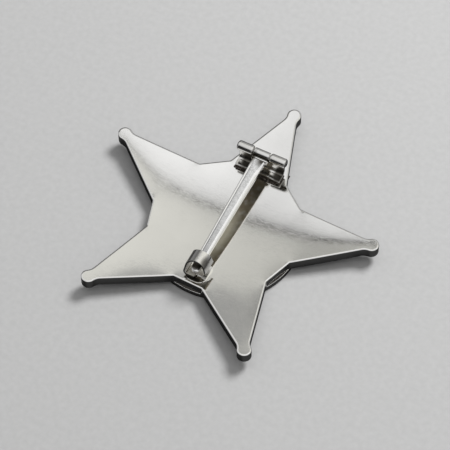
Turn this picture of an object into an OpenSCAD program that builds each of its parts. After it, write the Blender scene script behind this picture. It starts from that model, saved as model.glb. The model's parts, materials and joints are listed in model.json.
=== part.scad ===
// A five-pointed star war medal with a pin fastening on its back, lying face down.
// Millimetres, +Z up. The origin is the star's middle, on the flat rest face of the front ring,
// so the back of the medal looks up and the hinged arm points along +Y.

/* [Star] */
// Distance of each ball tip's middle from the star's middle
tip_r = 28; // [24:0.5:40]
// Diameter of the ball tips
ball_d = 2.74; // [2:0.02:4]
// Width of an arm at its neck, just inside the ball tip
neck_w = 2.24; // [1.6:0.02:3]
// Distance of the neck from the ball tip's middle
neck_back = 1.1; // [0.8:0.1:2]
// Distance of the notch corners from the star's middle
notch_r = 14.77; // [13:0.01:16]
// Half the angle that the short straight notch edge spans, in degrees
notch_half = 11.6; // [8:0.1:16]
// Thickness of the star's edge
plate_t = 2.3; // [1.6:0.1:3]
// Height of the ball tips above the notch corners, as the star is vaulted
tip_lift = 1.07; // [0.4:0.01:2]
// Depth of the dished back at the star's middle
dish_depth = 0.5; // [0.2:0.05:1.2]

/* [Front ring] */
// Outer diameter of the raised ring on the front
ring_d = 29.6; // [27:0.1:31]
// Width of the ring's flat face
ring_w = 3; // [1.5:0.1:5]
// Height of the ring below the star
ring_h = 1; // [0.6:0.1:2]

/* [Hinge] */
// Distance of the hinge axis from the star's middle
hinge_y = 14.85; // [14:0.05:16]
// Height of the hinge axis above the notch corners of the back
hinge_up = 4.5; // [4:0.1:5]
// Turn of the whole pin fastening about the hinge's middle, in degrees
pin_turn = 1.5; // [0:0.1:2]
// Outer diameter of the middle knuckle
knuckle_d = 1.64; // [1.4:0.02:1.8]
// Outer diameter of the outer knuckles
side_knuckle_d = 1.88; // [1.6:0.02:2]
// Length of the middle knuckle, which belongs to the pin
knuckle_mid = 3.2; // [2.6:0.1:3.6]
// Length of each outer knuckle, which belongs to the bracket
knuckle_out = 3.35; // [2.6:0.05:3.6]
// Gap between neighbouring knuckles
knuckle_gap = 0.15; // [0.1:0.01:0.25]
// Diameter of the hinge rod
rod_d = 0.7; // [0.6:0.02:0.8]
// Clearance round the rod in the middle knuckle
rod_play = 0.05; // [0.03:0.01:0.08]
// Thickness of the bracket's sheet
sheet_t = 0.6; // [0.4:0.05:0.8]
// Width of the bracket
bracket_w = 9.4; // [8.6:0.1:10]
// Height of the bracket's foot above the notch corners of the back
foot_up = 1.2; // [0.6:0.05:1.6]

/* [Pin] */
// Thickness of the blade
blade_t = 0.8; // [0.6:0.05:1]
// Width of the blade at its root
blade_root_w = 2.7; // [2.2:0.1:3]
// Width of the blade just before its point
blade_end_w = 1.7; // [1.2:0.1:1.9]
// Distance from the hinge axis to the blade's point
blade_len = 28.2; // [27.5:0.1:28.6]
// Fall of the blade from its root to its point, in degrees
blade_fall = 3.4; // [3:0.1:3.8]

/* [Catch] */
// Outer diameter of the rolled catch
catch_d = 4.16; // [3.8:0.02:4.4]
// Thickness of the catch's sheet
catch_t = 0.35; // [0.3:0.05:0.5]
// Height of the roll's axis above the notch corners of the back
catch_up = 2.55; // [2.45:0.05:2.7]
// Distance from the hinge axis to the roll's rear end
catch_rear = 24.5; // [24:0.1:25]
// Length of the roll along its top
catch_len = 2.6; // [2.2:0.1:3]
// How much further the roll reaches at its foot than at its top
catch_lean = 1.15; // [0.6:0.05:1.3]
// Half the width of the soldered foot strip
foot_half = 2.1; // [1.8:0.1:2.4]

/* [Hidden] */
$fn = 64;
eps = 0.01;
arms = 5;
arm_step = 360 / arms;
silver = [0.86, 0.86, 0.84];
bright_silver = [0.93, 0.93, 0.92];

// Heights above the rest face
back_z = ring_h + plate_t;
axis_z = back_z + hinge_up;
roll_z = back_z + catch_up;

// Points of one arm, with the arm along +X
corner_angle = arm_step / 2 - notch_half;
neck_x = tip_r - neck_back;
lift_slope = tip_lift / (tip_r - notch_r);

// Hinge and blade
bore_d = rod_d + 2 * rod_play;
side_x = knuckle_mid / 2 + knuckle_gap;
hinge_end = side_x + knuckle_out;
head_t = 0.12;
head_d = 1.1;
wall_back = 0.3;
foot_reach = 2.12;
bend_r = 0.7;
foot_sink = 0.75;
collar_len = 0.72;
collar_up = 0.04;
collar_dip = 0.22;
blade_top = -0.06;
tip_len = 3.2;
tip_t = 0.45;

// Catch
heel_r = 0.8;
heel_out = 0.2;
floor_angle = 292;
lip_angle = 358;
strip_t = 0.95;
strip_front = 0.75;
star_sides = 96;
bowl_bands = 8;

// Heights over the star at the distance r from its middle
function rim_z(r) = back_z + max(0, r - notch_r) * lift_slope;
function bowl_z(r) = back_z - dish_depth * (1 - pow(r / notch_r, 2));

// A point at the distance r and the angle a
function polar(r, a) = [r * cos(a), r * sin(a)];

// Placing: the hinge's own frame has its axis along X through the origin
module at_hinge() {
    translate([0, hinge_y, axis_z]) rotate([0, 0, pin_turn]) children();
}

module each_arm() {
    for (i = [0:arms - 1]) rotate([0, 0, 90 + i * arm_step]) children();
}

module star_outline() {
    polygon([for (i = [0:arms - 1])
        let (a = 90 + i * arm_step)
        for (p = [polar(notch_r, a - corner_angle),
                  [neck_x * cos(a) + neck_w / 2 * sin(a), neck_x * sin(a) - neck_w / 2 * cos(a)],
                  [neck_x * cos(a) - neck_w / 2 * sin(a), neck_x * sin(a) + neck_w / 2 * cos(a)],
                  polar(notch_r, a + corner_angle)]) p]);
    each_arm() {
        translate([tip_r, 0]) circle(d = ball_d, $fn = 48);
        translate([neck_x - neck_back, -neck_w / 2]) square([2 * neck_back, neck_w]);
    }
}

// The vaulted slab that the star is cut from: dished in the middle, rising along the arms
module vault() {
    reach = tip_r + ball_d;
    rotate([0, 0, -90]) rotate_extrude($fn = star_sides) polygon(concat(
        [[0, ring_h], [notch_r, ring_h], [reach, ring_h + (reach - notch_r) * lift_slope], [reach, rim_z(reach)]],
        [for (i = [bowl_bands:-1:0]) let (r = notch_r * i / bowl_bands) [r, bowl_z(r)]]));
}

// The star itself: a struck plate with a dished back and round ball tips
module star_plate() {
    color(silver) intersection() {
        vault();
        linear_extrude(back_z + 4) star_outline();
    }
}

// The plain raised ring on the front, which the medal lies on
module front_ring() {
    color(silver) difference() {
        cylinder(d = ring_d, h = ring_h + 0.3, $fn = star_sides);
        translate([0, 0, -eps]) cylinder(d = ring_d - 2 * ring_w, h = ring_h + 1, $fn = star_sides);
    }
}

module knuckle(x_from, x_to, outer_d) {
    translate([x_from, 0, 0]) rotate([0, 90, 0]) difference() {
        cylinder(d = outer_d, h = x_to - x_from);
        translate([0, 0, -eps]) cylinder(d = bore_d, h = x_to - x_from + 2 * eps, $fn = 32);
    }
}

// Side profile of the bracket's sheet: down behind the hinge, round the bend and forward
module bracket_profile() {
    top = -side_knuckle_d / 2 + 0.3;
    low = -hinge_up - foot_sink;
    foot_z = -hinge_up + foot_up;
    difference() {
        translate([wall_back - sheet_t - bend_r, low])
            square([bend_r + sheet_t, top - low]);
        translate([wall_back - sheet_t - bend_r, foot_z + bend_r]) {
            circle(r = bend_r, $fn = 40);
            translate([-2 * bend_r, 0]) square([3 * bend_r, 6]);
            translate([-2 * bend_r, -bend_r]) square([2 * bend_r, 6]);
        }
    }
    translate([-foot_reach, low]) square([foot_reach, foot_z - low]);
}

// The bracket, soldered to the star, with its two rolled outer knuckles
module hinge_bracket() {
    color(bright_silver) at_hinge() {
        difference() {
            translate([-bracket_w / 2, 0, 0]) rotate([90, 0, 90])
                linear_extrude(bracket_w) bracket_profile();
            translate([-side_x, -2, -knuckle_d / 2 - 0.35]) cube([2 * side_x, 4, 3]);
            rotate([0, 90, 0]) cylinder(d = bore_d, h = 20, center = true, $fn = 32);
        }
        knuckle(-hinge_end, -side_x, side_knuckle_d);
        knuckle(side_x, hinge_end, side_knuckle_d);
    }
}

// The rod that the pin turns on, with a thin peened head at each end
module hinge_rod() {
    color(bright_silver) at_hinge() rotate([0, 90, 0]) {
        cylinder(d = rod_d, h = 2 * hinge_end + 2 * head_t, center = true, $fn = 32);
        for (s = [0, 1]) mirror([0, 0, s])
            translate([0, 0, hinge_end + 0.02]) cylinder(d = head_d, h = head_t, $fn = 32);
    }
}

// The pin: a knuckle, a short collar and a tapered blade with a rounded point
module pin() {
    color(bright_silver) at_hinge() {
        difference() {
            union() {
                knuckle(-knuckle_mid / 2, knuckle_mid / 2, knuckle_d);
                pin_collar();
                intersection() {
                    blade_plan();
                    blade_side();
                }
            }
            rotate([0, 90, 0]) cylinder(d = bore_d, h = 10, center = true, $fn = 32);
        }
    }
}

// The collar: the rolled sheet's end, which lies on the blade as a raised lip
module pin_collar() {
    under = blade_top - blade_t;
    near = -knuckle_d / 2 - collar_len;
    translate([-knuckle_mid / 2, 0, 0]) rotate([90, 0, 90]) linear_extrude(knuckle_mid)
        polygon([[-0.2, 0], [-0.2, under], [near, under], [near, blade_top],
                 [near + 0.12, collar_up], [near + 0.3, collar_up], [-knuckle_d / 2 - 0.12, -collar_dip],
                 [-knuckle_d / 2 + 0.02, -collar_dip / 2]]);
}

module blade_plan() {
    end_y = -blade_len + blade_end_w / 2;
    translate([0, 0, -6]) linear_extrude(8) {
        polygon([[-blade_root_w / 2, -0.3], [-blade_end_w / 2, end_y],
                 [blade_end_w / 2, end_y], [blade_root_w / 2, -0.3]]);
        translate([0, end_y]) circle(d = blade_end_w, $fn = 40);
    }
}

module blade_side() {
    rotate([90, 0, 90]) translate([0, 0, -3]) linear_extrude(6) rotate(blade_fall)
        polygon([[0.2, blade_top], [-blade_len - 1, blade_top],
                 [-blade_len - 1, blade_top - tip_t], [-blade_len + tip_len, blade_top - blade_t],
                 [-0.2, blade_top - blade_t]]);
}

// The catch: a foot strip on the star and a roll that closes over the pin's point
module catch_hook() {
    front = catch_rear + catch_len;
    color(bright_silver) at_hinge() translate([0, 0, roll_z - axis_z]) difference() {
        union() {
            catch_roll(catch_rear, front + catch_lean);
            catch_foot(catch_rear, front + strip_front + catch_lean * 0.7);
        }
        translate([-5, -front, catch_d / 2]) rotate([-atan(catch_lean / catch_d), 0, 0])
            translate([0, -6, -catch_d + catch_t]) cube([10, 6, 8]);
    }
}

// The roll's sheet lies on the foot, curls up and over, and ends above the mouth at its side
module catch_roll(from_y, to_y) {
    translate([0, -from_y, 0]) rotate([90, 0, 0]) linear_extrude(to_y - from_y) difference() {
        catch_section(0);
        catch_section(catch_t);
        polygon([[0, 0], 4 * polar(1, floor_angle), 5 * polar(1, (floor_angle + lip_angle) / 2),
                 4 * polar(1, lip_angle)]);
    }
}

// The roll's outline, moved inwards by a distance: round, with a squarer heel beside the foot
module catch_section(inset) {
    hull() {
        circle(r = catch_d / 2 - inset, $fn = 72);
        translate([heel_r - heel_out - catch_d / 2, heel_r - catch_d / 2]) circle(r = heel_r - inset, $fn = 40);
    }
}

module catch_foot(from_y, to_y) {
    corner = 1.6;
    translate([0, 0, -catch_d / 2 - strip_t + 0.08]) linear_extrude(strip_t) {
        translate([-foot_half, -to_y + corner]) square([2 * foot_half, to_y - from_y - corner]);
        translate([-foot_half + corner, -to_y]) square([2 * foot_half - 2 * corner, corner + eps]);
        for (s = [-1, 1]) translate([s * (foot_half - corner), -to_y + corner]) circle(r = corner, $fn = 40);
    }
}

module star_body() {
    star_plate();
    front_ring();
    hinge_bracket();
    catch_hook();
}

star_body();
hinge_rod();
pin();
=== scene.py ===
"""A five-pointed star war medal with a pin fastening, lying face down on a pale table."""

import json
import math

import bmesh
import bpy
import numpy as np
from mathutils import Matrix, Vector
from mathutils.geometry import delaunay_2d_cdt


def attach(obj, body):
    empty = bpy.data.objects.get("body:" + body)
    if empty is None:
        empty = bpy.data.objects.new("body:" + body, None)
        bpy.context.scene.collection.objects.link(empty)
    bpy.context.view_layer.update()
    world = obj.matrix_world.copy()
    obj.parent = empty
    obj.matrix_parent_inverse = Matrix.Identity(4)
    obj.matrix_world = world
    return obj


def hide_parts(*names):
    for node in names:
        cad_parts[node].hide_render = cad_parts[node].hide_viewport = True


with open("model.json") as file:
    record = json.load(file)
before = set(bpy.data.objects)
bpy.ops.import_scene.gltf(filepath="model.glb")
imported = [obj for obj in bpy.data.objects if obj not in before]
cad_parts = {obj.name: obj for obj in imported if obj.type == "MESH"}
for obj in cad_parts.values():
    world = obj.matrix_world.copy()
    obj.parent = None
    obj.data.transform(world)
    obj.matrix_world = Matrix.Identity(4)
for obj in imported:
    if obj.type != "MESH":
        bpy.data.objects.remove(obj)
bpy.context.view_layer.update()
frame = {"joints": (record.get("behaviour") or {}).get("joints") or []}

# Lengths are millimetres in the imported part's frame, and meshes are written in metres
MM = 0.001

# Star: it rests on its front ring at height 0, and its back looks up
ARMS = 5
ARM_STEP = 2 * math.pi / ARMS
TIP_R = 28.0
BALL_R = 1.37
NECK_X = 26.9
NECK_HALF = 1.12
NOTCH_R = 14.77
NOTCH_HALF = math.radians(11.6)
PLATE_T = 2.3
TIP_LIFT = 1.07
RING_H = 1.0
RING_OUT = 14.8
RING_IN = 11.8
BACK_Z = RING_H + PLATE_T
LIFT_SLOPE = TIP_LIFT / (TIP_R - NOTCH_R)

# Star's rim and vault: the back sags from the rim like a skin with an even pull
RIM_LAND = 0.05
RIM_ROUND_W = 0.29
RIM_ROUND_H = 0.14
FRONT_ROUND = 0.14
TIP_FILLET = 2.2
NOTCH_FILLET = 0.35
VAULT_CURVE = 0.0095
GRID_STEP = 0.36
FRONT_STEP = 1.3

# Hinge frame: its axis runs along X through the origin, and it is turned a little about Z. The sizes of
# the hinge, the bracket, the pin and the catch are in this frame
JOINT = frame["joints"][0]
HINGE = np.array(JOINT["pos_m"]) / MM
PIN_TURN = math.atan2(-JOINT["axis"][1], -JOINT["axis"][0])
KNUCKLE_R = 0.82
KNUCKLE_EASE = 0.13
SIDE_KNUCKLE_R = 0.94
SIDE_KNUCKLE_EASE = 0.4
BORE_R = 0.4
MID_HALF = 1.6
SIDE_FROM = 1.75
SIDE_TO = 5.1
ROD_R = 0.35
HEAD_R = 0.55
HEAD_FROM = 5.12
HEAD_TO = 5.24

# Bracket of bent sheet
SHEET_T = 0.6
BRACKET_HALF = 4.7
BRACKET_EASE = 0.09
BEND_R = 0.7
FOOT_FRONT = -2.12
FOOT_TOP = -3.3
CUT_Z = -1.17
SHEET_LEVELS = (-2.1, -1.6, CUT_Z, -0.85, -0.64)
SOLDER_LOW = -5.1

# Pin
BLADE_ROOT = 1.35
BLADE_END = 0.85
BLADE_LEN = 28.2
BLADE_T = 0.8
BLADE_TOP = -0.06
BLADE_FALL = math.radians(3.4)
BLADE_FROM = 0.6
BEVEL_W = 0.66
BEVEL_AT_ROOT = 0.3
BEVEL_GROWS = 3.0
BEVEL_INSET = 0.07
BEVEL_TURN = math.radians(27)
GROOVE_AT = 0.3
GROOVE_DEEP = 0.15
UNDER_ROUND = 0.12
POINT_LEN = 3.2
POINT_T = 0.45
ROOT_RISE = 0.2
ROOT_FROM = 1.45
ROOT_TO = 3.3
COLLAR_EASE = 0.14

# Catch: a rolled hook on a foot strip
ROLL_Z = -1.95
ROLL_OUT = 2.08
ROLL_IN = 1.73
HEEL_R = 0.8
HEEL_OUT = 0.2
LIP_ANGLE = math.radians(-2)
LIP_FLARE = 0.16
FLARE_ANGLE = 0.5
FLOOR_ANGLE = math.radians(270)
FLOOR_END = 0.97
FLOOR_STEPS = 8
FLOOR_SKEW = 0.27
CATCH_EASE = 0.1
CATCH_REAR = -24.5
CATCH_FRONT = -27.1
CATCH_LEAN = 1.15
STRIP_HALF = 2.1
STRIP_FRONT = -28.655
STRIP_TOP = -3.97
STRIP_LEDGE = -4.45
LEDGE_FROM = -27.2
STRIP_LOW = -4.9
STRIP_CORNER = 1.6

# Camera, fitted to the photograph
CAMERA_AT = (117.49, -211.91, 376.48)
CAMERA_VIEW = Vector((-0.2639, 0.4762, -0.8388))
CAMERA_UP = Vector((-0.4023, 0.7360, 0.5444))
CAMERA_FOV = math.radians(10.897)
CAMERA_CLIP = 0.01

# Studio: two straight seams lie in planes through the medal, the lower one inside the wall
SEAM_NORMAL = (-0.099, -1.0, 0.504)
SEAM_SPAN = 0.12
SEAM_SHIFT = 0.06
LOW_SEAM_NORMAL = (0.10, -1.0, 0.74)
LOW_SEAM_SPAN = (-0.012, 0.006)
PHOTOGRAPHER = (-0.27, -0.92, 0.28)
BACKDROP = (0.62, 0.62, 0.62)
TABLE_HALF = 4.0
TABLE_REFLECTED = (0.03, 0.03, 0.03)
KEY_AT = (0.12, 0.30, 0.48)
KEY_SIZE = 0.22
KEY_POWER = 3.2

# Colours of the fittings' plate, and of the painted shade on their undersides
FITTING_SILVER = (0.93, 0.92, 0.895)
UNDERSIDE_SHADE = (0.35, 0.31, 0.24)
PIN_UNDERSIDE_SHADE = (0.30, 0.26, 0.19)

# Painted shade and painted reflection: dark spots as (middle, reach, strength) in millimetres, and the
# share of the reach that is solid, where it isn't SPOT_CORE
SPOT_CORE = 0.7
PAINTED_SHADE_TONE = (0.075, 0.065, 0.048)
# Painted shade inside the bracket at both sides, under the knuckles along their near side, and painted
# shadow along the foot's front edge
HINGE_PAINTED_SHADE = (
    ((4.2, 13.9, 5.1), (1.5, 1.9, 1.8), 0.9),
    ((-2.7, 13.7, 5.5), (1.7, 1.9, 1.9), 0.9),
    ((0.0, 14.4, 6.95), (7.0, 0.9, 0.75), 0.9),
    ((0.3, 12.5, 3.8), (6.5, 0.6, 0.65), 0.95, 0.9))
# Painted shade and painted reflection on both sides of the roll, painted shadow on the ledge under the
# roll's front, and painted shade on the strip's right
CATCH_PAINTED_SHADE = (
    ((1.7, -11.6, 6.6), (1.1, 2.6, 1.4), 0.78),
    ((-1.5, -11.2, 6.5), (1.3, 2.4, 1.7), 0.62),
    ((0.25, -13.25, 3.6), (2.1, 0.55, 0.6), 0.97, 0.9),
    ((2.4, -12.0, 3.8), (0.9, 2.0, 0.5), 0.45))
INSIDE_SHADE = ((1.4, -11.8, 5.9), (1.9, 3.0, 2.2), 0.9)
# Painted shade on the blade inside the roll, and at its root: a gradient below the collar's lip on the matte
# top, and on the polished blade a dark groove behind the lip, a dark line at its front and a band along its
# left edge
POINT_PAINTED_SHADE = ((0.7, -11.6, 6.2), (1.6, 1.5, 0.9), 0.9, 0.6)
BLADE_PAINTED_SHADE = (
    ((0.7, 13.3, 7.8), (1.3, 1.6, 1.5), 0.95, 0.2),
    POINT_PAINTED_SHADE)
PIN_PAINTED_SHADE = (
    ((0.0, 14.03, 7.8), (3.2, 0.28, 0.55), 0.97),
    ((0.03, 13.37, 7.85), (2.6, 0.09, 0.3), 0.9),
    ((-1.25, 13.5, 7.8), (0.65, 2.4, 1.2), 0.95, 0.3),
    POINT_PAINTED_SHADE)

# Blade: painted shading of its flat top, darker along Y towards its point, the part of the top that is
# matte, and a paler spot in the painted shade on its underside as (middle, reach, core)
BLADE_SHADE_ALONG = ((-14.0, 0.66), (-8.0, 0.74), (-4.0, 0.83), (0.0, 0.93), (6.0, 1.0))
MATTE_FROM = 1.5
MATTE_LEFT = -0.7
UNDER_GLEAM = ((-0.6, 0.2, 6.0), (2.2, 7.0, 3.0), 0.35)
GLEAM = (0.8, 0.76, 0.62)


# Mesh helpers

def vertex_normals(points, faces):
    """Normals at the points, averaged over the faces by their area."""
    normals = np.zeros_like(points)
    for face in faces:
        corners = points[list(face)]
        cross = np.zeros(3)
        for a, b in zip(corners[1:-1], corners[2:]):
            cross += np.cross(a - corners[0], b - corners[0])
        normals[list(face)] += cross
    lengths = np.linalg.norm(normals, axis=1, keepdims=True)
    return normals / np.maximum(lengths, 1e-12)


def bevelled(mesh, width):
    """Cleans a mesh and rounds its sharp edges by a width in millimetres."""
    sharp_angle = math.radians(50)
    work = bmesh.new()
    work.from_mesh(mesh)
    loose = [v for v in work.verts if not v.link_faces]
    bmesh.ops.delete(work, geom=loose, context="VERTS")
    bmesh.ops.remove_doubles(work, verts=work.verts, dist=1e-7)
    bmesh.ops.recalc_face_normals(work, faces=work.faces)
    if width:
        sharp = [e for e in work.edges if len(e.link_faces) == 2 and e.calc_face_angle() > sharp_angle]
        bmesh.ops.bevel(work, geom=sharp, offset=width * MM, offset_type="OFFSET", segments=3,
                        profile=0.5, affect="EDGES", clamp_overlap=True)
    work.to_mesh(mesh)
    work.free()


def make_piece(name, parts, material, bevel=0.0, normals=None):
    """One object from (points, faces) parts in millimetres. Normals that are given leave it uncleaned."""
    points = np.concatenate([np.asarray(p, float) for p, _ in parts])
    faces = []
    start = 0
    for part_points, part_faces in parts:
        faces += [tuple(start + k for k in face) for face in part_faces]
        start += len(part_points)
    mesh = bpy.data.meshes.new(name)
    mesh.from_pydata((points * MM).tolist(), [], faces)
    if normals is None:
        bevelled(mesh, bevel)
        flat = np.empty(len(mesh.vertices) * 3)
        mesh.vertices.foreach_get("co", flat)
        normals = vertex_normals(flat.reshape(-1, 3), [tuple(p.vertices) for p in mesh.polygons])
    mesh.polygons.foreach_set("use_smooth", [True] * len(mesh.polygons))
    mesh.normals_split_custom_set_from_vertices(normals.tolist())
    piece = bpy.data.objects.new(name, mesh)
    bpy.context.scene.collection.objects.link(piece)
    mesh.materials.append(material)
    return piece


def second_material(piece, material, chosen):
    """Gives another material to the faces that chosen picks."""
    piece.data.materials.append(material)
    for polygon in piece.data.polygons:
        if chosen(polygon):
            polygon.material_index = 1


def in_hinge_frame(points):
    """Moves points from the hinge's own frame to the part's frame."""
    points = np.asarray(points, float)
    c, s = math.cos(PIN_TURN), math.sin(PIN_TURN)
    x, y, z = points[..., 0], points[..., 1], points[..., 2]
    return np.stack([HINGE[0] + x * c - y * s, HINGE[1] + x * s + y * c, HINGE[2] + z], axis=-1)


def sheet_part(top, under, keep=None):
    """A solid sheet between two grids of points. keep says which cells of the grid are there."""
    rows, cols = top.shape[:2]
    if keep is None:
        keep = np.ones((rows - 1, cols - 1), bool)
    points = np.concatenate([top.reshape(-1, 3), under.reshape(-1, 3)])
    low = rows * cols
    faces = []
    for r in range(rows - 1):
        for c in range(cols - 1):
            if not keep[r, c]:
                continue
            ring = [r * cols + c, r * cols + c + 1, (r + 1) * cols + c + 1, (r + 1) * cols + c]
            faces.append(tuple(ring))
            faces.append(tuple(low + k for k in reversed(ring)))
            beside = [(r - 1, c), (r, c + 1), (r + 1, c), (r, c - 1)]
            for side, (br, bc) in enumerate(beside):
                if 0 <= br < rows - 1 and 0 <= bc < cols - 1 and keep[br, bc]:
                    continue
                a, b = ring[side], ring[(side + 1) % 4]
                faces.append((b, a, low + a, low + b))
    return points, faces


def tube_part(sections):
    """A solid lofted through closed sections with equal numbers of points."""
    sections = np.asarray(sections, float)
    count, ring = sections.shape[:2]
    faces = []
    for i in range(count - 1):
        for k in range(ring):
            n = (k + 1) % ring
            faces.append((i * ring + k, i * ring + n, (i + 1) * ring + n, (i + 1) * ring + k))
    faces.append(tuple(range(ring - 1, -1, -1)))
    faces.append(tuple(range((count - 1) * ring, count * ring)))
    return sections.reshape(-1, 3), faces


def lathe_part(profile, steps=64):
    """A closed profile of (x, radius) turned round the X axis."""
    profile = np.asarray(profile, float)
    ring = len(profile)
    points = []
    faces = []
    for i in range(steps):
        a = 2 * math.pi * i / steps
        points += [(x, -r * math.sin(a), r * math.cos(a)) for x, r in profile]
        for k in range(ring):
            n = (k + 1) % ring
            j = (i + 1) % steps
            faces.append((i * ring + k, j * ring + k, j * ring + n, i * ring + n))
    return np.array(points), faces


def arc(centre, radius, start, end, steps):
    """Points on an arc, both ends included."""
    angles = np.linspace(start, end, steps + 1)
    return np.stack([centre[0] + radius * np.cos(angles), centre[1] + radius * np.sin(angles)], axis=-1)


# Star plate

def arm_side():
    """One side of an arm along +X, from its notch corner to the far end of its ball tip."""
    corner = NOTCH_R * np.array([math.cos(ARM_STEP / 2 - NOTCH_HALF), math.sin(ARM_STEP / 2 - NOTCH_HALF)])
    neck = np.array([NECK_X, NECK_HALF])
    along = (neck - corner) / np.linalg.norm(neck - corner)
    out = np.array([-along[1], along[0]])
    ball = np.array([TIP_R, 0.0])
    # The fillet's circle touches the straight edge and the ball from outside
    rise = (ball - corner) @ out
    reach = math.sqrt((BALL_R + TIP_FILLET) ** 2 - (TIP_FILLET - rise) ** 2)
    fillet = corner + along * ((ball - corner) @ along - reach) + out * TIP_FILLET
    from_angle = math.atan2(-out[1], -out[0])
    to_ball = ball - fillet
    to_angle = math.atan2(to_ball[1], to_ball[0])
    ball_angle = math.atan2(-to_ball[1], -to_ball[0])
    # The notch corner is eased by a small arc between the edge and the notch chord
    chord_turn = math.atan2(along[1], along[0]) + math.pi - (ARM_STEP / 2 + math.pi / 2)
    ease = NOTCH_FILLET * math.tan(abs(chord_turn) / 2)
    start = corner + along * ease
    notch_centre = start + out * NOTCH_FILLET
    notch_angles = (from_angle - abs(chord_turn) / 2, from_angle)
    end = fillet - out * TIP_FILLET
    steps = int(np.linalg.norm(end - start) / GRID_STEP)
    straight = start + (end - start) * (np.arange(1, steps) / steps)[:, None]
    return np.concatenate([
        arc(notch_centre, NOTCH_FILLET, *notch_angles, 2),
        straight,
        arc(fillet, TIP_FILLET, from_angle, to_angle, 6),
        arc(ball, BALL_R, ball_angle, 0.0, 16)[1:]])


def star_outline():
    """The star's outline, anticlockwise seen from the back."""
    side = arm_side()
    other = side[:-1] * [1, -1]
    arm = np.concatenate([other, side[::-1]])
    outline = []
    for i in range(ARMS):
        turn = math.pi / 2 + i * ARM_STEP
        c, s = math.cos(turn), math.sin(turn)
        turned = arm @ np.array([[c, s], [-s, c]])
        if outline:
            outline.append(chord_points(outline[-1][-1], turned[0]))
        outline.append(turned)
    outline.append(chord_points(outline[-1][-1], outline[0][0]))
    return np.concatenate(outline)


def chord_points(a, b):
    """Points between two notch corners, their ends left out."""
    steps = int(np.linalg.norm(b - a) / GRID_STEP)
    return a + (b - a) * (np.arange(1, steps) / steps)[:, None]


def unit(vectors):
    """Vectors brought to length 1."""
    return vectors / np.linalg.norm(vectors, axis=1)[:, None]


def outline_normals(outline):
    """Directions out of a closed outline at its points."""
    ahead = np.roll(outline, -1, axis=0) - outline
    behind = outline - np.roll(outline, 1, axis=0)
    tangent = unit(unit(ahead) + unit(behind))
    return np.stack([tangent[:, 1], -tangent[:, 0]], axis=-1)


def rim_lift(points):
    """Height of the rim above the notch corners."""
    radius = np.linalg.norm(points, axis=1)
    return np.maximum(0, radius - NOTCH_R) * LIFT_SLOPE


class Vault:
    """The height of the dished back: a skin held at the rim, with an even pull downwards."""

    SOURCE_OUT = 1.7
    SOURCE_STRIDE = 2

    def __init__(self, rim):
        out = outline_normals(rim)
        self.sources = (rim + out * self.SOURCE_OUT)[::self.SOURCE_STRIDE]
        height = BACK_Z + rim_lift(rim) - VAULT_CURVE * (rim ** 2).sum(axis=1) / 4
        self.weights = np.linalg.lstsq(self.terms(rim), height, rcond=1e-9)[0]

    def terms(self, points):
        gaps = points[:, None, :] - self.sources[None]
        logs = np.log((gaps ** 2).sum(axis=2)) / 2
        return np.concatenate([logs, np.ones((len(points), 1))], axis=1)

    def height(self, points):
        return self.terms(points) @ self.weights + VAULT_CURVE * (points ** 2).sum(axis=1) / 4

    def normals(self, points):
        gaps = points[:, None, :] - self.sources[None]
        pulls = gaps / (gaps ** 2).sum(axis=2)[..., None]
        slope = np.einsum("psk,s->pk", pulls, self.weights[:-1]) + VAULT_CURVE * points / 2
        return unit(np.concatenate([-slope, np.ones((len(points), 1))], axis=1))


def inside_grid(outline, step, margin):
    """A hexagonal grid of points inside an outline, clear of it by a margin."""
    low, high = outline.min(axis=0), outline.max(axis=0)
    rows = np.arange(low[1], high[1], step * math.sqrt(3) / 2)
    points = []
    for k, y in enumerate(rows):
        xs = np.arange(low[0] + (k % 2) * step / 2, high[0], step)
        points.append(np.stack([xs, np.full(len(xs), y)], axis=-1))
    points = np.concatenate(points)
    a, b = outline, np.roll(outline, -1, axis=0)
    edge = b - a
    kept = []
    # In blocks, because the arrays of gaps are large
    for block in np.array_split(points, 20):
        gap = block[:, None, :] - a[None]
        t = np.clip((gap * edge).sum(axis=2) / (edge ** 2).sum(axis=1), 0, 1)
        away = np.linalg.norm(gap - t[..., None] * edge, axis=2).min(axis=1)
        above = (a[None, :, 1] > block[:, None, 1]) != (b[None, :, 1] > block[:, None, 1])
        with np.errstate(divide="ignore", invalid="ignore"):
            cross = a[None, :, 0] + gap[..., 1] * edge[None, :, 0] / edge[None, :, 1]
        inside = (above & (block[:, None, 0] < cross)).sum(axis=1) % 2 == 1
        kept.append(block[inside & (away > margin)])
    return np.concatenate(kept)


def filled(outline, inner):
    """Triangles over an outline and the points inside it, as indexes into both."""
    points = [Vector(p) for p in np.concatenate([outline, inner])]
    count = len(outline)
    loop = [(i, (i + 1) % count) for i in range(count)]
    _, _, triangles, back, _, _ = delaunay_2d_cdt(points, loop, [], 1, 1e-6)
    return [tuple(back[k][0] for k in triangle) for triangle in triangles]


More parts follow.
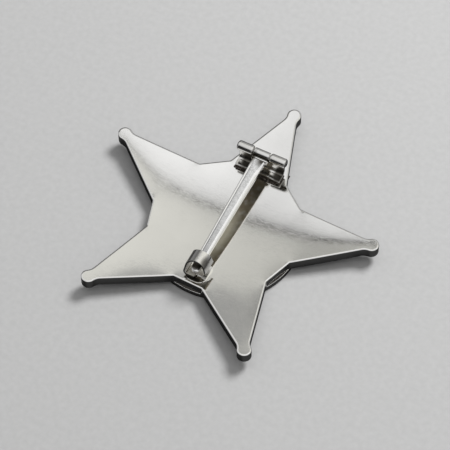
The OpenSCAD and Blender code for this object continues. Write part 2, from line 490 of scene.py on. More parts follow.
def star_plate(material, front_material):
    """The star with its dished back, its rounded rims and its satin front."""
    outline = star_outline()
    out = outline_normals(outline)
    count = len(outline)
    lift = rim_lift(outline)
    rim_z = BACK_Z + lift

    vault_rim = outline - out * (RIM_ROUND_W + RIM_LAND)
    vault = Vault(vault_rim)
    inner = inside_grid(vault_rim, GRID_STEP, GRID_STEP * 0.6)
    points = [np.column_stack([vault_rim, rim_z]), np.column_stack([inner, vault.height(inner)])]
    normals = [vault.normals(vault_rim), vault.normals(inner)]
    faces = [t if turning(vault_rim, inner, t) > 0 else t[::-1] for t in filled(vault_rim, inner)]

    # Rings from the vault's rim over the rounded edge, down the wall and under the front
    quarter = np.radians([0, 15, 30, 45, 58, 70, 80, 90])
    rings = [(RIM_ROUND_W * (1 - math.sin(u)), rim_z - RIM_ROUND_H * (1 - math.cos(u)),
              math.sin(u) * RIM_ROUND_H, math.cos(u) * RIM_ROUND_W) for u in quarter]
    low_z = RING_H + lift
    rings.append((0.0, low_z + PLATE_T / 2, 1.0, 0.0))
    rings += [(FRONT_ROUND * (1 - math.cos(u)), low_z + FRONT_ROUND * (1 - math.sin(u)),
               math.cos(u), -math.sin(u)) for u in quarter[::2]]
    rings.append((FRONT_ROUND + RIM_LAND, low_z, 0.0, -1.0))
    start = sum(len(p) for p in points)
    last = 0
    for inset, z, outward, upward in rings:
        points.append(np.column_stack([outline - out * inset, np.broadcast_to(z, count)]))
        normal = np.column_stack([out * outward, np.full(count, upward)])
        normals.append(unit(normal))
        for k in range(count):
            n = (k + 1) % count
            faces.append((last + k, start + k, start + n, last + n))
        last = start
        start += count

    # Front: flat faces under the arms, which the ring stands on
    front_rim = outline - out * rings[-1][0]
    front_inner = inside_grid(front_rim, FRONT_STEP, FRONT_STEP * 0.5)
    points.append(np.column_stack([front_inner, RING_H + rim_lift(front_inner)]))
    normals.append(np.tile([0.0, 0.0, -1.0], (len(front_inner), 1)))
    front = []
    for triangle in filled(front_rim, front_inner):
        if turning(front_rim, front_inner, triangle) > 0:
            triangle = triangle[::-1]
        front.append(tuple(last + k if k < count else start + k - count for k in triangle))
    piece = make_piece("star_plate", [(np.concatenate(points), faces + front)], material,
                       normals=np.concatenate(normals))
    second_material(piece, front_material, lambda polygon: polygon.index >= len(faces))
    return piece


def turning(outline, inner, triangle):
    """Positive for an anticlockwise triangle."""
    count = len(outline)
    a, b, c = (outline[k] if k < count else inner[k - count] for k in triangle)
    return (b[0] - a[0]) * (c[1] - a[1]) - (b[1] - a[1]) * (c[0] - a[0])


# Front ring

def front_ring(material, ring_shade):
    """The plain raised ring on the front, which the medal rests on. Its level upper side carries painted
    shade.
    """
    ease = 0.22
    crown = 0.09
    top = RING_H + 0.3
    profile = np.concatenate([
        [[RING_IN, top]],
        arc((RING_IN + ease, ease), ease, math.pi, 1.5 * math.pi, 4),
        arc((RING_OUT - ease, ease), ease, 1.5 * math.pi, 2 * math.pi, 4),
        arc((RING_OUT - crown, top - crown), crown, 0, math.pi / 2, 7)])
    points, faces = lathe_part(profile[:, ::-1], steps=180)
    # Turned round Z instead of X
    points = points[:, ::-1] * [1, -1, 1]
    piece = make_piece("front_ring", [(points, faces)], material)
    # Painted shade on the ring's level upper faces
    second_material(piece, ring_shade, lambda polygon: polygon.normal[2] > 0.97)
    return piece


# Hinge

def knuckle_profile(x_from, x_to, radius, ease):
    """Section of a rolled knuckle, with its outer ends rounded."""
    lip = 0.06
    return np.concatenate([
        [[x_from, BORE_R + lip]],
        arc((x_from + ease, radius - ease), ease, math.pi, math.pi / 2, 4),
        arc((x_to - ease, radius - ease), ease, math.pi / 2, 0, 4),
        [[x_to, BORE_R + lip], [x_to - lip, BORE_R], [x_from + lip, BORE_R]]])


def bracket_paths():
    """Inner and outer lines of the bracket's sheet, from the foot's front edge up to the knuckles."""
    half = SHEET_T / 2
    bend_y, bend_z = -half - BEND_R, FOOT_TOP + BEND_R
    inner = [(y, FOOT_TOP) for y in (FOOT_FRONT, (FOOT_FRONT + bend_y) / 2)]
    outer = [(y, FOOT_TOP - SHEET_T) for y, _ in inner]
    for a in np.radians(np.linspace(-90, 0, 9)):
        inner.append((bend_y + BEND_R * math.cos(a), bend_z + BEND_R * math.sin(a)))
        reach = BEND_R + SHEET_T
        outer.append((bend_y + reach * math.cos(a), bend_z + reach * math.sin(a)))
    for z in SHEET_LEVELS:
        inner.append((-half, z))
        outer.append((half, z))
    return np.array(inner), np.array(outer)


def solder_bed(name, middle, half_x, half_y, top, low, slope, material):
    """Solder under a soldered foot: a low bank that spreads a little past it, made lumpy by slow waves."""
    xs = np.linspace(-half_x - slope, half_x + slope, 64)
    ys = np.linspace(-half_y - slope, half_y + slope, 36)
    x, y = np.meshgrid(xs, ys, indexing="ij")
    spread = slope * (1 + 0.3 * np.sin(2.3 * x + 1.1) + 0.22 * np.sin(4.1 * x - 2.0 * y))
    past = np.hypot(np.maximum(np.abs(x) - half_x, 0), np.maximum(np.abs(y) - half_y, 0))
    fall = np.clip(1 - past / spread, 0, 1)
    lumps = 0.05 * np.sin(5.3 * x + 2.0 * y) * np.sin(4.7 * y - 1.3 * x) * (past > 0)
    height = low + (top - low) * fall ** 2 + lumps * fall
    under = np.full_like(x, low - 0.1)
    grids = [np.stack([middle[0] + x, middle[1] + y, z], axis=-1) for z in (height, under)]
    points, faces = sheet_part(*grids)
    return make_piece(name, [(in_hinge_frame(points), faces)], material)


def bracket_solder(material):
    """The bed under the bracket's foot, which stops a little short of the bend's outer side."""
    behind = 0.15
    half_y = (SHEET_T / 2 - behind - FOOT_FRONT) / 2 - 0.1
    middle = (0.0, FOOT_FRONT + behind + half_y)
    top = FOOT_TOP - SHEET_T + 0.03
    return solder_bed("bracket_solder", middle, BRACKET_HALF - 0.12, half_y, top, SOLDER_LOW, 0.95, material)


def hinge_bracket(material):
    """The bent sheet and its two rolled knuckles. It is cut away between them for the pin's knuckle."""
    half_columns = [0.8, SIDE_FROM, 2.6, 3.6, BRACKET_HALF]
    columns = [-x for x in half_columns[::-1]] + half_columns
    cut_columns = slice(3, 6)
    front, back = bracket_paths()
    grids = [np.array([[(x, y, z) for x in columns] for y, z in path]) for path in (front, back)]
    keep = np.ones((len(front) - 1, len(columns) - 1), bool)
    for r in range(len(front) - 1):
        if front[r][1] >= CUT_Z - 1e-6:
            keep[r, cut_columns] = False
    points, faces = sheet_part(*grids, keep)
    parts = [(in_hinge_frame(points), faces)]
    for x_from, x_to in ((-SIDE_TO, -SIDE_FROM), (SIDE_FROM, SIDE_TO)):
        points, faces = lathe_part(knuckle_profile(x_from, x_to, SIDE_KNUCKLE_R, SIDE_KNUCKLE_EASE))
        parts.append((in_hinge_frame(points), faces))
    return make_piece("hinge_bracket", parts, material, bevel=BRACKET_EASE)


def hinge_rod(material):
    """The rod through the knuckles, with a low domed head at each end."""
    rise = HEAD_TO - HEAD_FROM
    turns = np.radians([0, 20, 40, 58, 74, 86])
    half = [(HEAD_TO - rise * (1 - math.cos(u)), max(HEAD_R * math.sin(u), 0.001)) for u in turns]
    half += [(HEAD_FROM, HEAD_R), (HEAD_FROM, ROD_R), (0.0, ROD_R)]
    other = [(-x, r) for x, r in half[-2::-1]]
    points, faces = lathe_part(half + other, steps=40)
    return make_piece("hinge_rod_wire", [(in_hinge_frame(points), faces)], material)


# Pin

def blade_half(s):
    """Half the blade's width at the distance s from the hinge axis."""
    end = BLADE_LEN - BLADE_END
    if s > end:
        return math.sqrt(max(BLADE_END ** 2 - (s - end) ** 2, 1e-6))
    return BLADE_ROOT + (BLADE_END - BLADE_ROOT) * s / end


def blade_section(s):
    """Closed section of the blade: a groove near its left edge and a broad rounded bevel on the right."""
    half = blade_half(s)
    thick = BLADE_T - (BLADE_T - POINT_T) * max(0, s - BLADE_LEN + POINT_LEN) / POINT_LEN
    near_point = min(1.0, (BLADE_LEN - s) / POINT_LEN)
    grown = BEVEL_AT_ROOT + (1 - BEVEL_AT_ROOT) * max(0.0, s - ROOT_FROM) / BEVEL_GROWS
    bevel = BEVEL_W * half * min(1.0, grown)
    groove_at, groove = GROOVE_AT * half, GROOVE_DEEP * near_point
    under = min(UNDER_ROUND, half * 0.3)
    top = BLADE_TOP + ROOT_RISE * max(0.0, (ROOT_TO - max(s, ROOT_FROM)) / (ROOT_TO - ROOT_FROM)) ** 2
    low = BLADE_TOP - thick

    radius = bevel / math.sin(BEVEL_TURN)
    turns = np.linspace(0, BEVEL_TURN, 7)
    bevel_from = half - BEVEL_INSET - bevel
    right = [(bevel_from + radius * math.sin(u), top - radius * (1 - math.cos(u))) for u in turns]
    corner_z = right[-1][1]
    # Small roundings below the bevel and under both edges, and at the left a low land beside the groove
    right += [(half - 0.03, corner_z - 0.04), (half, corner_z - 0.12)]
    corner = [(half - under + under * math.cos(u), low + under - under * math.sin(u))
              for u in np.radians([0, 45, 90])]
    left = [(-x, z) for x, z in corner[::-1]]
    left += [(-half, top - 0.13), (-half + 0.05, top - 0.06), (-half + 0.12, top - 0.03),
             (-half + groove_at - 0.1, top - 0.01), (-half + groove_at, top - groove),
             (-half + groove_at + 0.1, top)]
    points = left + [(-half * 0.3, top)] + right + corner + [(0.0, low)]
    tilt_c, tilt_s = math.cos(BLADE_FALL), math.sin(BLADE_FALL)
    return [(x, -s * tilt_c - z * tilt_s, -s * tilt_s + z * tilt_c) for x, z in points]


def pin_piece(material, matte):
    """The pin: blade, middle knuckle and collar. The blade's flat top is matte."""
    end = BLADE_LEN - BLADE_END
    tip = [end + BLADE_END * math.sin(u) for u in np.radians(np.linspace(8, 88, 9))]
    stations = list(np.linspace(BLADE_FROM, end, 60)) + tip
    blade = tube_part([blade_section(s) for s in stations])
    knuckle = lathe_part(knuckle_profile(-MID_HALF, MID_HALF, KNUCKLE_R, KNUCKLE_EASE))
    parts = [(in_hinge_frame(points), faces) for points, faces in (blade, knuckle, collar_part())]
    piece = make_piece("pin_blade", parts, material)

    def on_flat_top(polygon):
        away = HINGE[1] - polygon.center[1] / MM
        half = blade_half(max(0, min(away, end)))
        to_side = (polygon.center[0] / MM - away * math.sin(PIN_TURN)) / half
        # Neither the bevel nor the groove is this level
        level = polygon.normal[2] > 0.95 and abs(polygon.normal[0]) < 0.09
        return level and away > MATTE_FROM and to_side > MATTE_LEFT

    second_material(piece, matte, on_flat_top)
    return piece


def collar_part():
    """The end of the pin's own sheet, rolled over the rod and laid on the blade as a lip."""
    low = BLADE_TOP - BLADE_T
    # Lengthwise section: from the knuckle along the top, over the lip and back along the underside
    section = np.array([
        (-0.25, 0.3), (-0.7, 0.2), (-0.8, 0.0), (-0.82, -0.12), (-0.85, -0.17), (-0.9, -0.17),
        (-0.95, -0.1), (-1.01, 0.02), (-1.09, 0.11), (-1.2, 0.155), (-1.31, 0.15), (-1.4, 0.11),
        (-1.45, 0.04), (-1.5, -0.3), (-1.52, low + 0.12), (-1.48, low + 0.02), (-1.3, low), (-0.25, low)])
    stations = [(-MID_HALF, COLLAR_EASE), (-MID_HALF + 0.04, COLLAR_EASE * 0.35)]
    stations.append((-MID_HALF + COLLAR_EASE, 0.0))
    stations += [(x, 0.0) for x in np.linspace(-1.0, 1.0, 5)]
    stations += [(-x, inset) for x, inset in stations[2::-1]]
    middle = section.mean(axis=0)
    from_middle = section - middle
    sections = []
    for x, inset in stations:
        shrunk = from_middle * (1 - inset / np.abs(from_middle).max(axis=0))
        sections.append([(x, y, z) for y, z in middle + shrunk])
    return tube_part(sections)


# Catch

def catch_solder(material):
    """The bed under the catch's foot strip."""
    half_y = (CATCH_REAR - STRIP_FRONT) / 2 - 0.3
    middle = (0.0, CATCH_REAR - half_y - 0.1)
    top = STRIP_LEDGE - 0.1
    return solder_bed("catch_solder", middle, STRIP_HALF - 0.25, half_y, top, SOLDER_LOW, 0.9, material)


def catch_front(z):
    """Front end of the roll at a height in the hinge's frame: it leans forward towards its foot."""
    return CATCH_FRONT - CATCH_LEAN * (ROLL_Z + ROLL_OUT - z) / (2 * ROLL_OUT)


def roll_sheet(radius):
    """The catch's sheet from its free lip at the side, over the top and round its heel to its flat floor."""
    line = []
    heel = HEEL_R - (ROLL_OUT - radius)
    heel_x, heel_z = HEEL_R - HEEL_OUT - ROLL_OUT, ROLL_Z + HEEL_R - ROLL_OUT
    # The outer side runs straight from the round top to the heel, touching both
    gap = math.hypot(heel_x, ROLL_Z - heel_z)
    side = math.atan2(heel_z - ROLL_Z, heel_x) - math.acos((radius - heel) / gap) + 2 * math.pi
    for a in np.linspace(LIP_ANGLE, side, 36):
        # The lip flares a little outwards
        flare = LIP_FLARE * max(0.0, 1 - (a - LIP_ANGLE) / FLARE_ANGLE) ** 2
        line.append(((radius + flare) * math.cos(a), ROLL_Z + radius * math.sin(a)))
    for a in np.linspace(side, FLOOR_ANGLE, 10):
        line.append((heel_x + heel * math.cos(a), heel_z + heel * math.sin(a)))
    for x in np.linspace(heel_x, FLOOR_END, FLOOR_STEPS + 1)[1:]:
        line.append((x, ROLL_Z - radius))
    return line


def catch_piece(material, inside):
    """The rolled hook and its foot strip. The roll's inner face and its front rim are unpolished."""
    along = np.linspace(0, 1, 7)
    grids = []
    for radius in (ROLL_OUT, ROLL_IN):
        grid = np.array([[(x, CATCH_REAR + (catch_front(z) - CATCH_REAR) * t, z) for t in along]
                         for x, z in roll_sheet(radius)])
        # The floor's cut edge runs askew
        floor = grid[-FLOOR_STEPS:]
        floor_from = grid[-FLOOR_STEPS - 1, 0, 0]
        part_way = np.clip((floor[..., 0] - floor_from) / (FLOOR_END - floor_from), 0, 1)
        floor[..., 0] += part_way * (floor[..., 1] - CATCH_REAR) * FLOOR_SKEW
        grids.append(grid)
    points, faces = sheet_part(*grids)
    parts = [(in_hinge_frame(points), faces)]

    # The foot strip steps down to a thin ledge under the roll's front end
    corner_from = STRIP_FRONT + STRIP_CORNER
    stations = [(y, STRIP_HALF, STRIP_TOP) for y in np.linspace(CATCH_REAR, LEDGE_FROM, 5)]
    for a in np.radians([8, 18, 36, 54, 70, 83, 90]):
        half = STRIP_HALF - STRIP_CORNER * (1 - math.cos(a))
        stations.append((corner_from - STRIP_CORNER * math.sin(a), half, STRIP_LEDGE))
    across = np.linspace(-1, 1, 7)
    upper = np.array([[(half * t, y, top) for t in across] for y, half, top in stations])
    lower = np.array([[(half * t, y, STRIP_LOW) for t in across] for y, half, top in stations])
    points, faces = sheet_part(upper, lower)
    parts.append((in_hinge_frame(points), faces))
    piece = make_piece("catch_hook", parts, material, bevel=CATCH_EASE)

    def unpolished(polygon):
        to_axis = (HINGE[1] - polygon.center[1] / MM) * math.sin(PIN_TURN) - polygon.center[0] / MM
        up = HINGE[2] + ROLL_Z - polygon.center[2] / MM
        looks_in = to_axis * polygon.normal[0] + up * polygon.normal[2]
        inner_face = looks_in > 0.6 and abs(polygon.normal[1]) < 0.3
        # The rounded outer edge of the front end looks forward and out
        front_rim = looks_in < 0 and -0.85 < polygon.normal[1] < -0.25
        return math.hypot(to_axis, up) < ROLL_OUT + HEEL_OUT and (inner_face or front_rim)

    second_material(piece, inside, unpolished)
    return piece


# Materials

# Noise scales per metre, and how the plate's dull patches change its roughness and its tone
PATCH_SCALE = 260.0
GRAIN_SCALE = 2600.0
ROUGH_SPREAD = 0.06
PATCH_TONE = 0.965
# Roughness added where painted shade lies: on the faces that look down, and in the dark spots
UNDERSIDE_SHADE_ROUGH = 0.35
PAINTED_SHADE_ROUGH = 0.25
SPECKLE = [(0.38, 0.92), (0.6, 1.0)]
# A value that only a thin contour line of a noise reaches
HAIR = [(0.0, 0.0), (0.485, 0.0), (0.5, 1.0), (0.515, 0.0), (1.0, 0.0)]


class Nodes:
    """A short way to add and link shader nodes."""

    def __init__(self, tree):
        self.tree = tree
        tree.nodes.clear()

    def add(self, kind, inputs=None, **settings):
        """A node with its settings. An input is a socket to link or a constant."""
        node = self.tree.nodes.new(kind)
        for name, value in settings.items():
            setattr(node, name, value)
        for name, value in (inputs or {}).items():
            if isinstance(value, bpy.types.NodeSocket):
                self.tree.links.new(value, node.inputs[name])
            else:
                node.inputs[name].default_value = value
        return node

    def math(self, operation, a, b=0.0, c=0.0, clamp=False):
        node = self.add("ShaderNodeMath", {0: a, 1: b, 2: c}, operation=operation, use_clamp=clamp)
        return node.outputs[0]

    def dot(self, a, b):
        return self.add("ShaderNodeVectorMath", {0: a, 1: b}, operation="DOT_PRODUCT").outputs["Value"]

    def multiply(self, product, *factors):
        for factor in factors:
            node = self.add("ShaderNodeVectorMath", {0: product, 1: factor}, operation="MULTIPLY")
            product = node.outputs["Vector"]
        return product

    def share(self, value, low, high):
        """How far a value has come from low to high: 0 to 1."""
        node = self.add("ShaderNodeMapRange", {"Value": value, "From Min": low, "From Max": high})
        return node.outputs["Result"]

    def ramp(self, factor, stops):
        """A colour ramp. stops is a list of (position, grey or colour)."""
        node = self.add("ShaderNodeValToRGB", {"Fac": factor})
        elements = node.color_ramp.elements
        while len(elements) < len(stops):
            elements.new(0.5)
        for element, (position, value) in zip(elements, stops):
            colour = value if isinstance(value, tuple) else (value, value, value)
            element.position = position
            element.color = (*colour, 1.0)
        return node.outputs["Color"]

    def mix(self, factor, a, b):
        """A colour mix. The mix node has its colours at inputs 6 and 7, and its result at output 2."""
        a, b = ((*value, 1.0) if isinstance(value, tuple) else value for value in (a, b))
        return self.add("ShaderNodeMix", {0: factor, 6: a, 7: b}, data_type="RGBA").outputs[2]

    def noise(self, vector, scale, detail=2.0, roughness=0.5):
        node = self.add("ShaderNodeTexNoise", {"Vector": vector, "Scale": scale, "Detail": detail,
                                               "Roughness": roughness})
        return node.outputs["Fac"]

    def stretched(self, vector, scale, turn):
        node = self.add("ShaderNodeMapping", {"Vector": vector, "Scale": scale, "Rotation": (0, 0, turn)})
        return node.outputs["Vector"]

    def bump(self, height, strength, distance):
        node = self.add("ShaderNodeBump", {"Strength": strength, "Distance": distance, "Height": height})
        return node.outputs["Normal"]

    def surface(self, tone, roughness, metallic, normal):
        shader = self.add("ShaderNodeBsdfPrincipled", {"Base Color": tone, "Roughness": roughness,
                                                       "Metallic": metallic, "Normal": normal})
        self.add("ShaderNodeOutputMaterial", {"Surface": shader.outputs["BSDF"]})


def new_material(name):
    """A material, its nodes and the piece's own coordinates, in metres."""
    material = bpy.data.materials.new(name)
    material.use_nodes = True
    n = Nodes(material.node_tree)
    return material, n, n.add("ShaderNodeTexCoord").outputs


def hair_lines(n, place, turn, scale, across):
    """Thin scratches along one direction: the contour lines of a stretched noise."""
    return n.ramp(n.noise(n.stretched(place, (1.0, across, 1.0), turn), scale, 1.0), HAIR)


def spot(n, place, middle, reach, core=SPOT_CORE):
    """One in the core of an egg-shaped space, falling to nothing at its edge. Lengths in millimetres."""
    scale = [1 / (MM * r) for r in reach]
    shift = [-m / r for m, r in zip(middle, reach)]
    egg = n.add("ShaderNodeMapping", {"Vector": place, "Scale": scale, "Location": shift}).outputs["Vector"]
    length = n.add("ShaderNodeVectorMath", {0: egg}, operation="LENGTH").outputs["Value"]
    return n.ramp(length, [(core, 1.0), (1.0, 0.0)])


def bright_plate(name, colour, rough, grain, scratches, under_colour=None, spots=(), gleam=None, tones=()):
    """Polished silver plate with a fine grain, faint scratches, dull patches and dark spots of painted
    shade.

    under_colour is painted shade for the faces that look down, and gleam is a paler spot in it. tones paint
    shade along Y on the plate, and speckle it.
    """
    material, n, coords = new_material(name)
    place = coords["Object"]
    patch = n.noise(place, PATCH_SCALE, 3.0)
    fine = n.noise(place, GRAIN_SCALE, 3.0, 0.6)
    roughness = n.math("MULTIPLY_ADD", patch, ROUGH_SPREAD, rough - ROUGH_SPREAD / 2)
    lines = n.math("MAXIMUM", hair_lines(n, place, 0.5, 500.0, 9.0), hair_lines(n, place, -0.9, 420.0, 12.0))
    height = n.math("MULTIPLY_ADD", fine, grain, n.math("MULTIPLY", lines, -scratches))
    tone = n.ramp(patch, [(0.3, tuple(PATCH_TONE * c for c in colour)), (0.7, colour)])
    # Painted shade, blotchy and brownish, on the faces that look down, with a paler spot where gleam is
    # given
    if under_colour:
        upward = n.add("ShaderNodeSeparateXYZ", {"Vector": coords["Normal"]}).outputs["Z"]
        facing = n.ramp(n.math("MULTIPLY_ADD", upward, 0.5, 0.5), [(0.0, 1.0), (0.1, 1.0), (0.45, 0.0)])
        blotch = n.noise(place, 900.0, 3.0)
        mask = n.math("MULTIPLY", facing, n.math("ADD", blotch, 0.45), clamp=True)
        under = n.mix(spot(n, place, *gleam), under_colour, GLEAM) if gleam else under_colour
        tone = n.mix(mask, tone, under)
        roughness = n.math("MULTIPLY_ADD", mask, UNDERSIDE_SHADE_ROUGH, roughness)
    # Painted shade that darkens the plate along Y
    if tones:
        along = n.add("ShaderNodeSeparateXYZ", {"Vector": place}).outputs["Y"]
        start, end = tones[0][0], tones[-1][0]
        stops = [((y - start) / (end - start), grey) for y, grey in tones]
        dim = n.ramp(n.share(along, start * MM, end * MM), stops)
        tone = n.multiply(tone, dim, n.ramp(fine, SPECKLE))
    # Dark spots of painted shade and painted reflection
    for middle, reach, strength, *core in spots:
        mask = n.math("MULTIPLY", spot(n, place, middle, reach, *core), strength)
        tone = n.mix(mask, tone, PAINTED_SHADE_TONE)
        roughness = n.math("MULTIPLY_ADD", mask, PAINTED_SHADE_ROUGH, roughness)
    n.surface(tone, roughness, 1.0, n.bump(height, 1.0, 0.00001))
    return material


def solder_metal(name):
    """Dark solder and burnt flux, with a few bright crawling marks."""
    material, n, coords = new_material(name)
    place = coords["Object"]
    lumps = n.noise(place, 1500.0, 3.0, 0.6)
    marks = n.noise(n.stretched(place, (1.0, 2.2, 1.0), 0.4), 1300.0, 2.0)
    tone = n.ramp(marks, [(0.35, (0.07, 0.06, 0.05)), (0.53, (0.10, 0.085, 0.07)),
                          (0.565, (0.42, 0.37, 0.34)), (0.595, (0.11, 0.09, 0.075)),
                          (0.75, (0.08, 0.07, 0.055))])
    n.surface(tone, 0.38, 1.0, n.bump(lumps, 1.0, 0.00006))
    return material


def dull_inside(name):
    """The unpolished inside of the rolled catch, with painted shade towards its right."""
    material, n, coords = new_material(name)
    place = coords["Object"]
    blotch = n.noise(place, 700.0, 3.0)
    tone = n.ramp(blotch, [(0.3, (0.74, 0.71, 0.63)), (0.7, (0.86, 0.84, 0.78))])
    # Painted shade towards the roll's right
    middle, reach, strength = INSIDE_SHADE
    tone = n.mix(n.math("MULTIPLY", spot(n, place, middle, reach), strength), tone, PAINTED_SHADE_TONE)
    n.surface(tone, 0.3, 0.35, n.bump(blotch, 0.5, 0.00002))
    return material


def satin_front(name):
    """The fine satin field of the front."""
    material, n, coords = new_material(name)
    place = coords["Object"]
    grains = n.noise(place, 5200.0, 2.0)
    patch = n.noise(place, 300.0, 3.0)
    tone = n.ramp(patch, [(0.3, (0.78, 0.77, 0.74)), (0.7, (0.86, 0.85, 0.82))])
    rough = n.ramp(patch, [(0.2, 0.34), (0.8, 0.44)])
    n.surface(tone, rough, 1.0, n.bump(grains, 0.6, 0.00002))
    return material


# Studio

def sine(degrees):
    return math.sin(math.radians(degrees))


# Brightness of the wall and the ceiling by the sine of the height above the horizon
LOW_WALL = [(0.0, (0.28, 0.28, 0.28)), (sine(19), (0.36, 0.36, 0.36)), (sine(39), (0.36, 0.36, 0.355)),
            (sine(50), (0.39, 0.39, 0.38))]
HIGH_WALL = (0.67, 0.665, 0.625)
CEILING = [(0.0, 0.15), (sine(16), 0.17), (sine(27), 0.22), (sine(38), 0.42), (sine(50), 0.88),
           (sine(62), 1.0)]

# What the seam does to them, by the way across it: it lies at a half
CEILING_EDGE = [(0.5, 0.5), (0.525, 0.62), (0.548, 0.75), (0.6, 0.84), (0.7, 0.87), (0.875, 0.93),
                (1.0, 0.74)]
SEAM_LINE = [(0.36, 1.0), (0.43, 0.94), (0.456, 0.78), (0.472, 0.22), (0.508, 0.22), (0.53, 1.0)]

# Changes towards the left, the right and both sides, and round the photographer
LEFT_WALL = [(0.0, 1.18), (0.11, 1.06), (0.17, 0.99), (0.21, 0.9), (0.27, 0.83), (0.30, 0.6), (0.45, 0.4),
             (0.65, 0.36), (0.9, 0.7)]
RIGHT_WALL = [(0.3, 1.0), (0.7, 0.9), (1.0, 0.7)]
LEFT_CEILING = [(0.0, 1.05), (0.15, 1.0), (0.2, 0.88), (0.26, 0.86), (0.36, 0.96)]
LEFT_SEAM = [(0.1, 0.55), (0.24, 1.0)]
SIDE_PANELS = [(0.5, 0.0), (0.8, 0.45)]
DARK_COAT = [(0.95, 1.0), (0.985, 0.1)]


def studio_world():
    """A light tent round the medal, which only its reflections show.

    A ceiling that darkens downwards meets a beige wall at a dark seam. A second, softer seam divides the
    wall. Pale panels stand at both sides, and the photographer is a dark patch.
    """
    world = bpy.data.worlds.new("studio")
    world.use_nodes = True
    bpy.context.scene.world = world
    n = Nodes(world.node_tree)
    direction = n.add("ShaderNodeTexCoord").outputs["Generated"]
    split = n.add("ShaderNodeSeparateXYZ", {"Vector": direction})
    across, up = split.outputs["X"], split.outputs["Z"]
    leftward = n.math("MULTIPLY_ADD", across, -1.0, -SEAM_SHIFT)
    over = n.dot(direction, Vector(SEAM_NORMAL).normalized())
    seam = n.share(over, -SEAM_SPAN, SEAM_SPAN)
    low_seam = n.share(n.dot(direction, Vector(LOW_SEAM_NORMAL).normalized()), *LOW_SEAM_SPAN)

    wall = n.mix(low_seam, n.ramp(up, LOW_WALL), HIGH_WALL)
    wall = n.multiply(wall, n.ramp(leftward, LEFT_WALL), n.ramp(across, RIGHT_WALL))
    ceiling = n.multiply(n.ramp(up, CEILING), n.ramp(seam, CEILING_EDGE), n.ramp(leftward, LEFT_CEILING))
    panels = n.ramp(n.math("ABSOLUTE", across), SIDE_PANELS)
    ceiling = n.add("ShaderNodeVectorMath", {0: ceiling, 1: panels}, operation="MAXIMUM").outputs["Vector"]
    line = n.mix(n.ramp(leftward, LEFT_SEAM), (1.0, 1.0, 1.0), n.ramp(seam, SEAM_LINE))
    dark_coat = n.ramp(n.dot(direction, PHOTOGRAPHER), DARK_COAT)
    tent = n.mix(n.math("GREATER_THAN", over, 0.0), wall, ceiling)

    camera_ray = n.add("ShaderNodeLightPath").outputs["Is Camera Ray"]
    colour = n.mix(camera_ray, n.multiply(tent, line, dark_coat), BACKDROP)
    background = n.add("ShaderNodeBackground", {"Color": colour, "Strength": 1.0})
    n.add("ShaderNodeOutputWorld", {"Surface": background.outputs["Background"]})


def studio_floor():
    """A plain pale table top. To reflections it is a deep grey, as the photograph's table is."""
    size = TABLE_HALF
    corners = [(-size, -size, 0), (size, -size, 0), (size, size, 0), (-size, size, 0)]
    mesh = bpy.data.meshes.new("table_top")
    mesh.from_pydata(corners, [], [(0, 1, 2, 3)])
    floor = bpy.data.objects.new("table_top", mesh)
    bpy.context.scene.collection.objects.link(floor)
    material, n, coords = new_material("pale_table")
    grain = n.noise(coords["Object"], 900.0, 3.0)
    pale = n.ramp(grain, [(0.3, (0.42, 0.42, 0.42)), (0.7, (0.45, 0.45, 0.45))])
    glossy = n.add("ShaderNodeLightPath").outputs["Is Glossy Ray"]
    tone = n.mix(glossy, pale, TABLE_REFLECTED)
    shader = n.add("ShaderNodeBsdfPrincipled",
                   {"Base Color": tone, "Roughness": 0.8, "Specular IOR Level": 0.05})
    n.add("ShaderNodeOutputMaterial", {"Surface": shader.outputs["BSDF"]})
    mesh.materials.append(material)


def studio_light():
    """A soft key from beyond the medal, which casts the shadow towards the viewer."""
    light = bpy.data.lights.new("key", "AREA")
    light.shape = "DISK"
    light.size = KEY_SIZE
    light.energy = KEY_POWER
    lamp = bpy.data.objects.new("key", light)
    lamp.location = KEY_AT
    lamp.rotation_euler = Vector(KEY_AT).to_track_quat("Z", "Y").to_euler()
    lamp.visible_glossy = False
    bpy.context.scene.collection.objects.link(lamp)


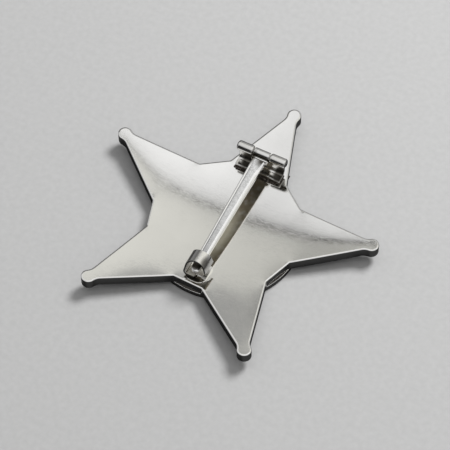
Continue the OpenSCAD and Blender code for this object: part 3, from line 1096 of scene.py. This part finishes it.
def studio_camera():
    """The photograph's viewpoint."""
    camera = bpy.data.cameras.new("photo_camera")
    camera.angle = CAMERA_FOV
    camera.clip_start = CAMERA_CLIP
    viewer = bpy.data.objects.new("photo_camera", camera)
    back = -CAMERA_VIEW.normalized()
    right = CAMERA_UP.cross(back).normalized()
    up = back.cross(right)
    turn = Matrix((right, up, back)).transposed().to_4x4()
    viewer.matrix_world = Matrix.Translation(Vector(CAMERA_AT) * MM) @ turn
    bpy.context.scene.collection.objects.link(viewer)
    bpy.context.scene.camera = viewer


# Putting it together

def build():
    plate = bright_plate("silver_plate", (0.95, 0.945, 0.93), 0.058, 0.10, 0.05)
    bracket_plate = bright_plate("bracket_plate", FITTING_SILVER, 0.08, 0.12, 0.08, UNDERSIDE_SHADE, HINGE_PAINTED_SHADE)
    catch_plate = bright_plate("catch_plate", FITTING_SILVER, 0.11, 0.12, 0.08, UNDERSIDE_SHADE, CATCH_PAINTED_SHADE)
    catch_inside = dull_inside("catch_inside")
    solder = solder_metal("solder")
    blade = bright_plate("blade_plate", (0.97, 0.965, 0.95), 0.08, 0.12, 0.1, PIN_UNDERSIDE_SHADE, PIN_PAINTED_SHADE,
                         UNDER_GLEAM)
    blade_top = bright_plate("blade_matte", (0.97, 0.97, 0.965), 0.17, 0.5, 0.9, spots=BLADE_PAINTED_SHADE,
                             tones=BLADE_SHADE_ALONG)
    wire = bright_plate("rod_wire", (0.80, 0.79, 0.77), 0.25, 0.3, 0.1)
    front = satin_front("front_satin")
    # Painted shade for the front ring's upper side
    ring_shade = bright_plate("ring_painted_shade", (0.06, 0.055, 0.05), 0.2, 0.3, 0.1)

    on_star = ("star", "star_body", "plated_star")
    for piece, body, node, slot in (
            (star_plate(plate, front), *on_star),
            (front_ring(plate, ring_shade), *on_star),
            (hinge_bracket(bracket_plate), *on_star),
            (catch_piece(catch_plate, catch_inside), *on_star),
            (bracket_solder(solder), *on_star),
            (catch_solder(solder), *on_star),
            (hinge_rod(wire), "star", "hinge_rod", "rod_metal"),
            (pin_piece(blade, blade_top), "pin", "pin", "pin_metal")):
        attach(piece, body)
        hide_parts(node)

    studio_world()
    studio_floor()
    studio_light()
    studio_camera()
    bpy.context.scene.view_settings.view_transform = "Standard"


build()
